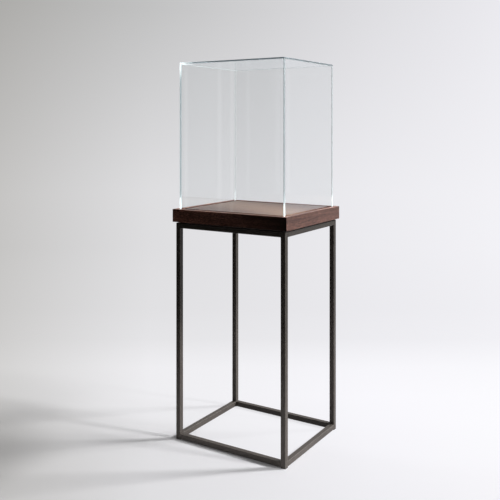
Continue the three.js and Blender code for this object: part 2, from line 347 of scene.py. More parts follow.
def attribute(tree, name):
    return output(tree, "ShaderNodeAttribute", key="Fac", attribute_name=name)


def bumped(tree, height, strength, distance):
    sockets = {"Strength": strength, "Distance": distance, "Height": height}
    return output(tree, "ShaderNodeBump", sockets)


# ---- Finishes ------------------------------------------------------------------------


# Features per metre in the noise of each surface
PAINT_MOTTLE, ORANGE_PEEL, PAINT_GRIT, HIGHLIGHT_BREAKS = 26.0, 620.0, 2400.0, 95.0
ZINC_CLOUDS, ZINC_GRAIN = 380.0, 2600.0
SOFT_BLOOM = 60.0
GRINDING_MARKS = 500.0

PAINT_DEPTHS = (0.86, 1.16)  # of tone, in the dark and the pale parts of the mottle
BOUNCE_FROM, BOUNCE_WANDER = 0.35, 0.1  # shares of the rise of the painted bounce light


def stand_paint(stand):
    """Satin paint: a fine orange peel, a faint mottle, a painted highlight along the arrises
    and painted light that grows towards the floor, for light bounced up from it."""
    finish, tree = new_finish("stand_paint_satin")
    place = object_place(tree)
    mottle = noise(tree, place, PAINT_MOTTLE, 4.0, 0.6)
    peel = noise(tree, place, ORANGE_PEEL, 2.0, 0.5)
    grit = noise(tree, place, PAINT_GRIT, 1.0)
    dark, pale = (opaque(stand.paint, depth) for depth in PAINT_DEPTHS)
    tone = ramp(tree, mottle, [(0.34, dark), (0.66, pale)])
    # Painted light: the tone lightens towards the floor, below a level that wanders with the
    # mottle, for light bounced up from the floor.
    rise = stand.bounce_rise
    level = mottle * (rise * BOUNCE_WANDER) + parts_of(tree, place)[2]
    bounce_share = remap(tree, level, rise * BOUNCE_FROM, rise, 1.0, 0.0)
    tone = blend_colours(tree, bounce_share, tone, opaque(stand.painted_bounce))
    # Painted highlight along the rounded arrises, broken up by noise.
    highlight_breaks = remap(tree, noise(tree, place, HIGHLIGHT_BREAKS, 3.0, 0.7), 0.36, 0.62, 0.25, 0.8)
    tone = blend_colours(tree, attribute(tree, "arris") * highlight_breaks, tone,
                         opaque(stand.arris_highlight))
    return coated(finish, {
        "Base Color": tone, "Roughness": remap(tree, mottle, 0.3, 0.7, 0.46, 0.56),
        "Specular IOR Level": 0.28,
        "Normal": bumped(tree, grit * 0.25 + peel, 0.09, 0.25 * MM)})


ZINC_TARNISH = (0.5, 0.47, 0.36, 1)


def zinc_plate(fixings):
    finish, tree = new_finish("screw_steel_zinc")
    place = object_place(tree)
    clouds = noise(tree, place, ZINC_CLOUDS, 3.0, 0.6)
    tone = blend_colours(tree, remap(tree, clouds, 0.35, 0.65, 0.0, 0.35),
                         opaque(fixings.zinc), ZINC_TARNISH)
    return coated(finish, {
        "Base Color": tone, "Metallic": 1.0,
        "Roughness": remap(tree, clouds, 0.3, 0.7, 0.26, 0.42),
        "Normal": bumped(tree, noise(tree, place, ZINC_GRAIN, 2.0), 0.12, 0.1 * MM)})


def soft_black(name, shade, grain, roughness, depth):
    """A matt black for rubber and moulded plastic: grain is the size of its texture."""
    finish, tree = new_finish(name)
    place = object_place(tree)
    texture = noise(tree, place, 1.0 / grain, 3.0, 0.6)
    bloom = noise(tree, place, SOFT_BLOOM, 3.0)
    pale = [channel * 1.9 + 0.003 for channel in shade]
    return coated(finish, {
        "Base Color": ramp(tree, bloom, [(0.35, shade), (0.75, pale)]),
        "Roughness": remap(tree, texture, 0.3, 0.7, roughness, roughness + 0.12),
        "Normal": bumped(tree, texture, 0.3, depth)})


# Features per metre in the wood, along the grain and across it
DRIFT, FIGURE, CURLS, FIBRES, PORES = (
    (2.2, 9.0), (3.0, 70.0), (62.0, 420.0), (22.0, 760.0), (60.0, 1500.0))
CORE_GRAIN = (9.0, 240.0, 240.0)
GRAIN_SWAY = 0.02  # range of the grain's drift sideways, in metres
CURL_LEAN = radians(13)  # the short curls of the figure, from the run of the grain
FIGURE_SHARE, CURL_SHARE, FIBRE_SHARE = 0.3, 0.46, 0.24
BAND_WAY = (0.46, 0.89, 0.0)  # across the band of painted sheen on the display panel
BAND_FADE = (0.0, 0.2)  # metres from the middle of the band
BAND_WANDER, BAND_LIFT = 0.16, 0.14  # shift of the band by the figure, and of the tone by it
# Painted highlight: the lippings' top faces are painted lighter, by top_depth, from TOP_FROM up
# to TOP_FULL.
TOP_FROM, TOP_FULL = DECK_TOP - 1.3 * MM, DECK_TOP - 0.3 * MM


def timber(name, deck, turn=(0, 0, 0), shift=(0, 0, 0), depths=(1.0, 1.0), sheen=0.34,
           painted_sheen=0.0, top_depth=2.9):
    """Stained, satin-lacquered wood whose grain runs along X before turn. depths are its depth
    of tone at both ends of the board, painted light and shade. top_depth is that of its top, a
    painted highlight. The share before top_depth is how far a band across it is painted pale, a
    painted sheen."""
    finish, tree = new_finish(name)
    on_board = turned(tree, object_place(tree), turn)
    place = vector_calc(tree, "ADD", on_board, shift)

    def along(way, scales, detail, roughness=0.5, distortion=0.0):
        stretch, across = scales
        scaled = vector_calc(tree, "MULTIPLY", way, (stretch, across, across))
        return noise(tree, scaled, 1.0, detail, roughness, distortion)

    drift = (along(place, DRIFT, 2.0) - 0.5) * GRAIN_SWAY
    grain = vector_calc(tree, "ADD", place, joined_vector(tree, 0.0, drift, drift))
    figure = along(grain, FIGURE, 3.0, 0.6, 0.8)
    curl = along(turned(tree, grain, (0, CURL_LEAN, CURL_LEAN)), CURLS, 2.0, 0.6, 0.4)
    fibres = along(grain, FIBRES, 3.0, 0.65)
    pores = remap(tree, along(grain, PORES, 1.0), 0.6, 0.7, 0.0, 1.0)
    tone = figure * FIGURE_SHARE + (curl * CURL_SHARE + fibres * FIBRE_SHARE)
    # Painted sheen: a soft band across the middle of the panel is painted paler.
    if painted_sheen:
        off = abs(vector_calc(tree, "DOT_PRODUCT", on_board, BAND_WAY))
        band = remap(tree, off + (figure - 0.5) * BAND_WANDER, *BAND_FADE, painted_sheen, 0.0)
        tone = band * BAND_LIFT + tone
    wood = ramp(tree, tone, [
        (0.38, deck.dark_wood), (0.5, deck.mid_wood), (0.62, deck.pale_wood)])
    if painted_sheen:
        wood = blend_colours(tree, band, wood, opaque(deck.sheen_band_wood))
    wood = blend_colours(tree, pores * 0.6, wood, opaque(deck.dark_wood, 0.5))
    x, _, z = parts_of(tree, on_board)
    # Painted light and shade: the tone deepens or pales from one end of the board to the other.
    depth = remap(tree, x, -DECK_WIDTH / 2, DECK_WIDTH / 2, *depths, "LINEAR")
    # Painted highlight on the top of a lipping.
    on_top = remap(tree, z, TOP_FROM, TOP_FULL, 0.0, 1.0)
    depth = calc(tree, "MAXIMUM", depth, on_top * top_depth)
    wood = vector_calc(tree, "MULTIPLY", wood, joined_vector(tree, depth, depth, depth))
    return coated(finish, {
        "Base Color": wood, "Specular IOR Level": 0.36,
        "Roughness": pores * 0.2 + remap(tree, fibres, 0.3, 0.7, sheen, sheen + 0.1),
        "Normal": bumped(tree, fibres * 0.35 - pores, 0.16, 0.2 * MM)})


def core_shade_finish(deck):
    """Sealed blockboard, coloured almost black as painted shade in the channel, with a faint
    open grain.
    """
    finish, tree = new_finish("core_board_sealed")
    place = vector_calc(tree, "MULTIPLY", object_place(tree), CORE_GRAIN)
    grain = noise(tree, place, 1.0, 4.0, 0.6)
    return coated(finish, {
        "Base Color": ramp(tree, grain, [
            (0.35, deck.core_wood), (0.7, opaque(deck.core_wood, 2.2))]),
        "Roughness": remap(tree, grain, 0.3, 0.7, 0.62, 0.75), "Specular IOR Level": 0.25,
        "Normal": bumped(tree, grain, 0.2, 0.2 * MM)})


PANE_PASSES = (0.965, 0.985, 0.98, 1)  # what each clear face leaves of a lamp's light
EDGE_LIGHT = (0.9, 1.0, 1.0, 1)  # colour of the painted glow of the pane edges


def let_through(finish, glass, tint):
    """Ends a glass finish so that light from lamps and to matt surfaces goes straight
    through."""
    tree = finish.node_tree
    passed = output(tree, "ShaderNodeBsdfTransparent", {"Color": tint})
    surface = output(tree, "ShaderNodeBsdfPrincipled", glass)
    return close_finish(finish, mixed(
        tree, light_path(tree, "Shadow", "Diffuse"), surface, passed))


def clear_glass(hood, name, tint):
    """The polished faces of a pane."""
    return let_through(new_finish(name)[0], {
        "Base Color": opaque(tint), "Roughness": 0.0, "IOR": hood.bend,
        "Transmission Weight": 1.0, "Specular Tint": opaque(tint)}, PANE_PASSES)


GLOW_RISE = 62 * MM  # how far above the deck the painted glow of the edges reaches
BRIGHT_CORNER = (25 * MM, 75 * MM)  # a painted glint at one corner of the lid, which fades out between these distances from the corner


def glass_edge(hood):
    """End faces and chamfers, finely ground: part of the light goes through, and part
    scatters. They carry a painted glow, brightest near the deck and at one corner of the lid."""
    finish, tree = new_finish("hood_glass_edge")
    place = object_place(tree)
    pale = attribute(tree, "pale")
    foot = remap(tree, parts_of(tree, place)[2], HOOD_FOOT + GLOW_RISE * 0.6,
                 HOOD_FOOT + GLOW_RISE, 1.0, 0.0)
    from_corner = vector_calc(tree, "LENGTH", vector_calc(
        tree, "SUBTRACT", place, (*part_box("glass_front")[0].xy, HOOD_TOP)))
    corner = remap(tree, from_corner, *BRIGHT_CORNER, 1.0, 0.0)
    bright = calc(tree, "MAXIMUM", foot, corner)
    # Painted glow on the ends and chamfers, varied by grinding marks.
    marks = remap(tree, noise(tree, place, GRINDING_MARKS, 3.0, 0.6), 0.35, 0.65, 0.75, 1.15)
    # Painted shade and light: faces with little glow share, such as the lid's ends, take the
    # darker lid edge tint.
    tone = blend_colours(tree, calc(tree, "MAXIMUM", pale, bright),
                         opaque(hood.lid_edge_tint), opaque(hood.edge_tint))
    return let_through(finish, {
        "Base Color": tone, "Roughness": 0.28, "IOR": hood.bend,
        "Transmission Weight": 0.6, "Emission Color": EDGE_LIGHT,
        "Emission Strength": marks * (pale * hood.edge_glow + bright * hood.foot_glow),
    }, opaque(hood.edge_tint))


# ---- Shapes by rule ------------------------------------------------------------------


STITCH_REACH = 0.005 * MM  # points this near are one point


def shape_tree(name, inputs):
    """A Geometry Nodes tree with these named inputs. Gives the tree, its inputs by name
    and the socket for its result."""
    tree = bpy.data.node_groups.new(name, "GeometryNodeTree")
    for label, kind in inputs.items():
        tree.interface.new_socket(label, in_out="INPUT", socket_type="NodeSocket" + kind)
    tree.interface.new_socket("Shape", in_out="OUTPUT", socket_type="NodeSocketGeometry")
    sources = tree.nodes.new("NodeGroupInput").outputs
    given = {label: Value(tree, sources[label]) for label in inputs}
    return tree, given, tree.nodes.new("NodeGroupOutput").inputs[0]


def use_shape(tree, shape, sockets):
    return output(tree, "GeometryNodeGroup", sockets, node_tree=shape)


def joined(tree, *parts):
    node = tree.nodes.new("GeometryNodeJoinGeometry")
    for part in parts:
        tree.links.new(part.socket, node.inputs[0])
    return Value(tree, node.outputs[0])


def moved(tree, part, translation=(0, 0, 0), rotation=(0, 0, 0)):
    return output(tree, "GeometryNodeTransform", {
        "Geometry": part, "Translation": translation, "Rotation": rotation})


def flipped(tree, part):
    return output(tree, "GeometryNodeFlipFaces", {"Mesh": part})


def placed(tree, points, part, rotation=(0, 0, 0)):
    return output(tree, "GeometryNodeInstanceOnPoints", {
        "Points": points, "Instance": part, "Rotation": rotation})


def box_shape(tree, size, centre, turn=(0, 0, 0)):
    return moved(tree, output(tree, "GeometryNodeMeshCube", {"Size": size}), centre, turn)


def four_points(tree, width, depth, centre, rotation=(0, 0, 0)):
    """The corners of a rectangle, laid flat and then turned."""
    grid = output(tree, "GeometryNodeMeshGrid", {
        "Size X": width, "Size Y": depth, "Vertices X": 2, "Vertices Y": 2})
    return moved(tree, grid, centre, rotation)


def at_level(tree, level):
    return joined_vector(tree, 0.0, 0.0, level)


def ring(tree, resolution, radius):
    return output(tree, "GeometryNodeCurvePrimitiveCircle", {
        "Resolution": resolution, "Radius": radius})


def straight(tree, start, end):
    return output(tree, "GeometryNodeCurvePrimitiveLine", {"Start": start, "End": end})


def swept(tree, path, section, caps=False, **more):
    return output(tree, "GeometryNodeCurveToMesh", {
        "Curve": path, "Profile Curve": section, "Fill Caps": caps, **more})


def stitched(tree, part):
    return output(tree, "GeometryNodeMergeByDistance", {
        "Geometry": part, "Distance": STITCH_REACH})


def shaded(tree, part, sharp_angle):
    """Smooth, but for the edges that turn by more than this."""
    smooth = output(tree, "GeometryNodeSetShadeSmooth", {"Geometry": part})
    bend = output(tree, "GeometryNodeInputMeshEdgeAngle", key="Unsigned Angle")
    sharp = output(tree, "FunctionNodeCompare", {"A": bend, "B": sharp_angle})
    return output(tree, "GeometryNodeSetShadeSmooth", {
        "Geometry": smooth, "Selection": sharp, "Shade Smooth": False}, domain="EDGE")


def finish_shape(tree, part, finish, result):
    real = output(tree, "GeometryNodeRealizeInstances", {"Geometry": part})
    coat = output(tree, "GeometryNodeSetMaterial", {"Geometry": real, "Material": finish})
    tree.links.new(coat.socket, result)


def grow(name, tree, inputs):
    """Runs a shape tree once, and gives an object with the plain mesh that it makes."""
    piece = new_piece(name, bpy.data.meshes.new(name + "_start"))
    shape = piece.modifiers.new("Shape", "NODES")
    shape.node_group = tree
    for item in tree.interface.items_tree:
        if item.in_out == "INPUT":
            shape[item.identifier] = inputs[item.name]
    piece.data = settled_mesh(piece, shape)
    if not piece.data.polygons:
        raise RuntimeError(f"the tree of {name} made no faces")
    return piece


def settled_mesh(piece, modifier):
    """The mesh that a modifier makes of a piece, which loses the modifier."""
    graph = bpy.context.evaluated_depsgraph_get()
    mesh = bpy.data.meshes.new_from_object(piece.evaluated_get(graph))
    piece.modifiers.remove(modifier)
    mesh.name = piece.name
    return mesh


FLAT_MARGIN = 0.4 * MM  # each flat of a tube begins this far from its rounded corner
BORE_CORNER = 0.25  # corner radius of the bore, as a share of the outside one
TUBE_SHARP = radians(40)  # edges of a tube that turn by more are sharp


def tube_section(tree, side, radius, steps):
    """The outline of a square tube as a closed curve. Each corner is an arc with one more
    point on the flat at each end, and arcs are marked by the attribute arris."""
    per_corner = steps + 3.0
    index = output(tree, "GeometryNodeInputIndex")
    corner = calc(tree, "FLOOR", index / per_corner)
    step = index - corner * per_corner - 1.0
    on_arc = calc(tree, "MINIMUM", calc(tree, "MAXIMUM", step, 0.0), steps)
    beyond = step - on_arc
    slide = beyond * FLAT_MARGIN
    bearing = (on_arc / steps + corner) * (pi / 2)
    reach = (side * 0.5 - radius) * sqrt(2)
    heading = corner * (pi / 2) + pi / 4

    def ordinate(own, other, sign):
        centre = reach * calc(tree, own, heading)
        arc = radius * calc(tree, own, bearing)
        return centre + arc + slide * sign * calc(tree, other, bearing)

    outline = output(tree, "GeometryNodeSetPosition", {
        "Geometry": ring(tree, per_corner * 4.0, 1.0),
        "Position": joined_vector(tree, ordinate("COSINE", "SINE", -1.0),
                                  ordinate("SINE", "COSINE", 1.0), 0.0)})
    return output(tree, "GeometryNodeStoreNamedAttribute", {
        "Geometry": outline, "Name": "arris", "Value": 1.0 - abs(beyond)})


def square_tube():
    """A length of square tube that stands on z = 0."""
    tree, given, result = shape_tree("Square tube", {
        "Length": "Float", "Side": "Float", "Wall": "Float",
        "Corner Radius": "Float", "Corner Steps": "Int"})
    side, radius, steps = given["Side"], given["Corner Radius"], given["Corner Steps"]
    outside = tube_section(tree, side, radius, steps)
    inside = tube_section(tree, side - given["Wall"] * 2.0, radius * BORE_CORNER, steps)
    top = at_level(tree, given["Length"])
    path = straight(tree, (0, 0, 0), top)
    rim = output(tree, "GeometryNodeFillCurve", {"Curve": joined(tree, outside, inside)},
                 mode="NGONS")
    tube = joined(tree, swept(tree, path, outside), flipped(tree, swept(tree, path, inside)),
                  flipped(tree, rim), moved(tree, rim, top))
    tree.links.new(shaded(tree, stitched(tree, tube), TUBE_SHARP).socket, result)
    return tree


STAND_SIZES = dict.fromkeys(("Width", "Depth", "Foot Level", "Top Level", "Tube Side"), "Float")


def stand_spans(given):
    """Lengths that the tubes and welds share, from the sizes of the stand."""
    side = given["Tube Side"]
    height = given["Top Level"] - given["Foot Level"]
    return {
        "across": given["Width"] - side,
        "deep": given["Depth"] - side,
        "long rail": given["Width"] - side * 2.0,
        "short rail": given["Depth"] - side * 2.0,
        "height": height,
        "rail rise": height - side,
        "clear rise": height - side * 2.0,
        "middle": (given["Top Level"] + given["Foot Level"]) * 0.5,
    }


def stand_tree():
    """Twelve tubes: four legs, and two rings of four rails that butt between them."""
    tree, given, result = shape_tree("Steel stand", {
        **STAND_SIZES, "Tube Wall": "Float", "Corner Radius": "Float",
        "Corner Steps": "Int", "Paint": "Material"})
    span = stand_spans(given)
    tube = square_tube()

    def cut(length):
        return use_shape(tree, tube, {
            "Length": length, "Side": given["Tube Side"], "Wall": given["Tube Wall"],
            "Corner Radius": given["Corner Radius"], "Corner Steps": given["Corner Steps"]})

    feet = four_points(tree, span["across"], span["deep"], at_level(tree, given["Foot Level"]))
    left_ends = four_points(
        tree, span["deep"], span["rail rise"],
        joined_vector(tree, span["long rail"] * -0.5, 0.0, span["middle"]),
        (pi / 2, 0, pi / 2))
    back_ends = four_points(
        tree, span["across"], span["rail rise"],
        joined_vector(tree, 0.0, span["short rail"] * 0.5, span["middle"]), (pi / 2, 0, 0))
    tubes = joined(
        tree,
        placed(tree, feet, cut(span["height"])),
        placed(tree, left_ends, cut(span["long rail"]), (0, pi / 2, 0)),
        placed(tree, back_ends, cut(span["short rail"]), (pi / 2, 0, 0)))
    finish_shape(tree, tubes, given["Paint"], result)
    return tree


BEAD_STEPS, BEAD_SIDES = 61, 14
BEAD_TAPER = (0.985, 10.0)  # how near the ends a bead narrows, and how suddenly
RIPPLE_HEIGHT = 0.07  # of a weld, as a share of its radius
FLAT_BEAD_SHARE = 0.84  # of the tube's side that a weld across a rail fills


def weld_bead():
    """One weld run, centred on the origin along X, rippled and rounded at its ends."""
    tree, given, result = shape_tree("Weld bead", {
        "Length": "Float", "Radius": "Float", "Pitch": "Float"})
    half = given["Length"] * 0.5
    line = straight(tree, joined_vector(tree, half * -1.0, 0.0, 0.0),
                    joined_vector(tree, half, 0.0, 0.0))
    path = output(tree, "GeometryNodeResampleCurve", {"Curve": line, "Count": BEAD_STEPS})
    along = output(tree, "GeometryNodeSplineParameter", key="Factor")
    reach, suddenness = BEAD_TAPER
    off_middle = abs(along * 2.0 - 1.0) * reach
    taper = calc(tree, "SQRT", 1.0 - calc(tree, "POWER", off_middle, suddenness))
    ripple = calc(tree, "SINE", along * given["Length"] / given["Pitch"] * (2 * pi))
    bead = swept(tree, path, ring(tree, BEAD_SIDES, given["Radius"]), True,
                 Scale=taper * (ripple * RIPPLE_HEIGHT + 1.0))
    smooth = output(tree, "GeometryNodeSetShadeSmooth", {"Geometry": bead})
    tree.links.new(smooth.socket, result)
    return tree


def weld_tree():
    """Weld runs where a rail meets a leg, and up the inside corner where rails meet."""
    tree, given, result = shape_tree("Stand welds", {
        **STAND_SIZES, "Radius": "Float", "Pitch": "Float", "Paint": "Material"})
    span = stand_spans(given)
    bead = weld_bead()
    centre = at_level(tree, span["middle"])

    def eight_runs(width, depth, rise, length, turn):
        run = use_shape(tree, bead, {
            "Length": length, "Radius": given["Radius"], "Pitch": given["Pitch"]})
        points = box_shape(tree, joined_vector(tree, width, depth, rise), centre)
        return placed(tree, points, run, turn)

    long_rail, short_rail, clear = span["long rail"], span["short rail"], span["clear rise"]
    flat = given["Tube Side"] * FLAT_BEAD_SHARE
    runs = joined(
        tree,
        eight_runs(long_rail, span["deep"], clear, flat, (0, 0, pi / 2)),
        eight_runs(span["across"], short_rail, clear, flat, (0, 0, 0)),
        eight_runs(long_rail, short_rail, span["rail rise"], given["Tube Side"],
                   (0, pi / 2, 0)))
    finish_shape(tree, runs, given["Paint"], result)
    return tree


SCREW_SIDES = 28
SCREW_SHARP = radians(38)  # edges of a screw that turn by more are sharp
TIP_SHARE, TIP_TO, TIP_SHOULDER = 0.08, 4 * MM, 5 * MM  # the point, from the end of a screw
DOME_LEANS = (0.3, 0.5, 0.7, 0.9, 1.1, 1.3, 1.47)  # angles of the rings of a domed head
RECESS_SHARE = 0.2  # width of each bar of the cross recess, as a share of its length
THREAD_FROM, THREAD_RISE, THREAD_CREST = 4.5 * MM, 17 * MM, 0.36 * MM
THREAD_TURNS, THREAD_STEPS = 9.0, 18


def lathed(tree, outline):
    """A solid of revolution from (radius, height) pairs, by raising and scaling one face."""
    radius, level = outline[0]
    disc = output(tree, "GeometryNodeMeshCircle", {
        "Vertices": SCREW_SIDES, "Radius": radius}, fill_type="NGON")
    solid = start = moved(tree, disc, at_level(tree, level))
    top = True
    for next_radius, next_level in outline[1:]:
        raised = add_node(tree, "GeometryNodeExtrudeMesh", {
            "Mesh": solid, "Selection": top, "Offset Scale": 1.0,
            "Offset": at_level(tree, calc(tree, "SUBTRACT", next_level, level))}).outputs
        top = Value(tree, raised["Top"])
        solid = output(tree, "GeometryNodeScaleElements", {
            "Geometry": Value(tree, raised["Mesh"]), "Selection": top,
            "Scale": next_radius / radius})
        radius, level = next_radius, next_level
    return stitched(tree, joined(tree, solid, flipped(tree, start)))


def screw_tree():
    """A cross-headed, domed screw at each corner of a rectangle, driven from below."""
    tree, given, result = shape_tree("Deck screws", {
        "Spread X": "Float", "Spread Y": "Float", "Seat Level": "Float",
        "Shank": "Float", "Head": "Float", "Head Height": "Float", "Length": "Float",
        "Recess": "Float", "Zinc": "Material"})
    shank, head = given["Shank"] * 0.5, given["Head"] * 0.5
    rise, recess = given["Head Height"], given["Recess"]
    tip = given["Length"] * -1.0
    blank = lathed(tree, [
        (shank * TIP_SHARE, tip), (shank * 0.95, tip + TIP_TO), (shank, tip + TIP_SHOULDER),
        (shank, 0.0), (head * 0.97, 0.0), (head, rise * 0.06),
        *((head * cos(lean), rise * sin(lean)) for lean in DOME_LEANS)])
    size = joined_vector(tree, recess, recess * RECESS_SHARE, rise)
    bars = [box_shape(tree, size, at_level(tree, rise), (0, 0, turn)) for turn in (0, pi / 2)]
    cross = output(tree, "GeometryNodeMeshBoolean", {"Mesh 2": joined(tree, *bars)},
                   operation="UNION", solver="EXACT")
    cut = output(tree, "GeometryNodeMeshBoolean", {"Mesh 1": blank, "Mesh 2": cross},
                 operation="DIFFERENCE", solver="EXACT")
    coil = output(tree, "GeometryNodeCurveSpiral", {
        "Resolution": THREAD_STEPS, "Rotations": THREAD_TURNS, "Start Radius": shank,
        "End Radius": shank, "Height": THREAD_RISE})
    thread = moved(tree, swept(tree, coil, ring(tree, 4, THREAD_CREST), True),
                   at_level(tree, tip + THREAD_FROM))
    screw = joined(tree, shaded(tree, cut, SCREW_SHARP), thread)
    points = four_points(tree, given["Spread X"], given["Spread Y"],
                         at_level(tree, given["Seat Level"]))
    finish_shape(tree, placed(tree, points, screw, (pi, 0, 0)), given["Zinc"], result)
    return tree


# ---- Shapes in mesh code -------------------------------------------------------------

SAME_POINT = 0.002 * MM
SHARP_FROM = radians(30)  # edges that turn by more are sharp
ARC_STEPS = 5
GLUE_GAP = 0.14 * MM  # half a glue line, measured along the board
INNER_ARRIS = 0.4 * MM  # radius of the eased inner top edge of a lipping


def new_piece(name, data):
    piece = bpy.data.objects.new(name, data)
    bpy.context.scene.collection.objects.link(piece)
    return piece


def settled(bm, name, *finishes):
    """The mesh of some mesh code, with its finishes."""
    mesh = bpy.data.meshes.new(name)
    bm.to_mesh(mesh)
    bm.free()
    for finish in finishes:
        mesh.materials.append(finish)
    return mesh


def mesh_from(bm, name, finish):
    """A finished mesh piece, smooth but for its sharp edges, with true shading on flats."""
    bmesh.ops.remove_doubles(bm, verts=bm.verts, dist=SAME_POINT)
    bmesh.ops.recalc_face_normals(bm, faces=bm.faces)
    for face in bm.faces:
        face.smooth = True
    mesh = settled(bm, name, finish)
    mesh.set_sharp_from_angle(angle=SHARP_FROM)
    piece = new_piece(name, mesh)
    even = piece.modifiers.new("Even shading", "WEIGHTED_NORMAL")
    even.keep_sharp = True
    even.weight = 100
    piece.data = settled_mesh(piece, even)
    return piece


def block_between(low, high):
    bm = bmesh.new()
    bmesh.ops.create_cube(bm, size=1)
    size = high - low
    centre = (high + low) / 2
    for vert in bm.verts:
        vert.co = Vector(a * b for a, b in zip(vert.co, size)) + centre
    return bm


def eased(bm, edges, radius, segments):
    bmesh.ops.bevel(bm, geom=edges, offset=radius, offset_type="OFFSET", segments=segments,
                    profile=0.5, affect="EDGES", clamp_overlap=True)


def lipping_section(thickness, height, arris):
    """Points (inward, level) round a lipping: both outer edges and the inner top edge are
    eased."""
    points = []

    def arc(inward, level, radius, start):
        for step in range(ARC_STEPS + 1):
            angle = start - step / ARC_STEPS * pi / 2
            points.append((inward + radius * cos(angle), level + radius * sin(angle)))

    arc(arris, arris, arris, 1.5 * pi)
    arc(arris, height - arris, arris, pi)
    arc(thickness - INNER_ARRIS, height - INNER_ARRIS, INNER_ARRIS, 0.5 * pi)
    points.append((thickness, 0.0))
    return points


def lipping(length, thickness, height, arris):
    """A lipping along X, its outer face on y = 0 and its underside on z = 0. Both ends are
    mitred, and the outer corner of each mitre is eased."""
    section = lipping_section(thickness, height, arris)
    turns = [step / ARC_STEPS * pi / 4 for step in range(ARC_STEPS + 1)]
    ends = [(-1, turn) for turn in reversed(turns)] + [(1, turn) for turn in turns]
    tip = arris * (1 - cos(pi / 4))  # where the eased corner meets the mitre
    bm = bmesh.new()
    rings = []
    for end, turn in ends:
        drawn_in = arris * (1 - cos(turn))
        reach = length / 2 - arris + arris * sin(turn)
        rings.append([bm.verts.new((
            end * min(reach, length / 2 - max(inward, tip) - GLUE_GAP),
            max(inward, drawn_in), level)) for inward, level in section])
    for first, second in zip(rings, rings[1:]):
        for place in range(len(section)):
            beside = (place + 1) % len(section)
            bm.faces.new([first[place], first[beside], second[beside], second[place]])
    bm.faces.new(rings[0])
    bm.faces.new(rings[-1][::-1])
    return bm


# ---- Operators -----------------------------------------------------------------------


def show(piece, body, slot, *nodes):
    """Puts a finished piece on its body, in the place of these nodes."""
    if nodes:
        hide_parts(*nodes)
    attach(piece, body)


def dress(nodes, finish):
    """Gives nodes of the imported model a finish."""
    for name in nodes:
        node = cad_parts[name]
        if not node.material_slots:
            node.data.materials.append(finish)
        for place in node.material_slots:
            place.material = finish


def at_corners(kind):
    return [f"{kind}_{corner}" for corner in CORNERS]


def at_sides(*kinds):
    return [f"{kind}_{side}" for kind in kinds for side in SIDES]


def stand_sizes():
    return {"Width": STAND_WIDTH, "Depth": STAND_DEPTH, "Foot Level": LEG_LOW.z,
            "Top Level": LEG_HIGH.z, "Tube Side": TUBE_SIDE}


class CASE_OT_steel_stand(Operator):
    """Make the legs and rails of square tube"""

    bl_idname = "display_case.steel_stand"
    bl_label = "Steel Stand"

    def execute(self, context):
        stand = context.scene.display_case.stand
        piece = grow("steel_stand", stand_tree(), {
            **stand_sizes(), "Tube Wall": stand.tube_wall,
            "Corner Radius": stand.tube_corner, "Corner Steps": stand.corner_steps,
            "Paint": stand_paint(stand)})
        show(piece, "stand", "stand_paint", *at_corners("leg"),
             *at_sides("bottom_rail", "top_rail"))
        return {"FINISHED"}


class CASE_OT_weld_beads(Operator):
    """Run the welds that join the rails to the legs"""

    bl_idname = "display_case.weld_beads"
    bl_label = "Weld Beads"

    def execute(self, context):
        stand = context.scene.display_case.stand
        piece = grow("weld_beads", weld_tree(), {
            **stand_sizes(), "Radius": stand.weld_radius, "Pitch": stand.weld_pitch,
            "Paint": bpy.data.materials["stand_paint_satin"]})
        show(piece, "stand", "stand_paint")
        return {"FINISHED"}


class CASE_OT_deck_screws(Operator):
    """Drive the four screws that hold the deck"""

    bl_idname = "display_case.deck_screws"
    bl_label = "Deck Screws"

    def execute(self, context):
        fixings = context.scene.display_case.fixings
        middle = (SCREW_LOW + SCREW_HIGH) / 2
        piece = grow("deck_screws", screw_tree(), {
            "Spread X": -2 * middle.x, "Spread Y": -2 * middle.y,
            "Seat Level": PLATE_LOW.z, "Shank": fixings.shank, "Head": fixings.head,
            "Head Height": fixings.head_height, "Length": SCREW_HIGH.z - PLATE_LOW.z,
            "Recess": fixings.recess, "Zinc": zinc_plate(fixings)})
        show(piece, "stand", "screw_steel", *at_corners("deck_screw"))
        return {"FINISHED"}


class CASE_OT_small_parts(Operator):
    """Finish the corner plates, foot plugs and rubber strips"""

    bl_idname = "display_case.small_parts"
    bl_label = "Small Parts"

    def execute(self, context):
        fixings = context.scene.display_case.fixings
        dress(at_corners("corner_plate"), bpy.data.materials["stand_paint_satin"])
        dress(at_corners("foot_plug"),
              soft_black("foot_plastic_moulded", fixings.plastic, 0.5 * MM, 0.5, 0.12 * MM))
        dress(at_sides("spacer_strip", "hood_bed"),
              soft_black("strip_rubber_matt", fixings.rubber, 0.8 * MM, 0.72, 0.15 * MM))
        return {"FINISHED"}


# Depth of tone at both ends of each lipping, painted light and shade that differs from side to
# side and along each board, and the wood's shift from one to the next
LIPPING_DEPTHS = {
    "front": (2.0, 0.12), "right": (1.3, 1.45), "back": (1.1, 1.0), "left": (1.0, 0.9)}
BOARD_SHIFT = (0.37, 0.21, 0.13)


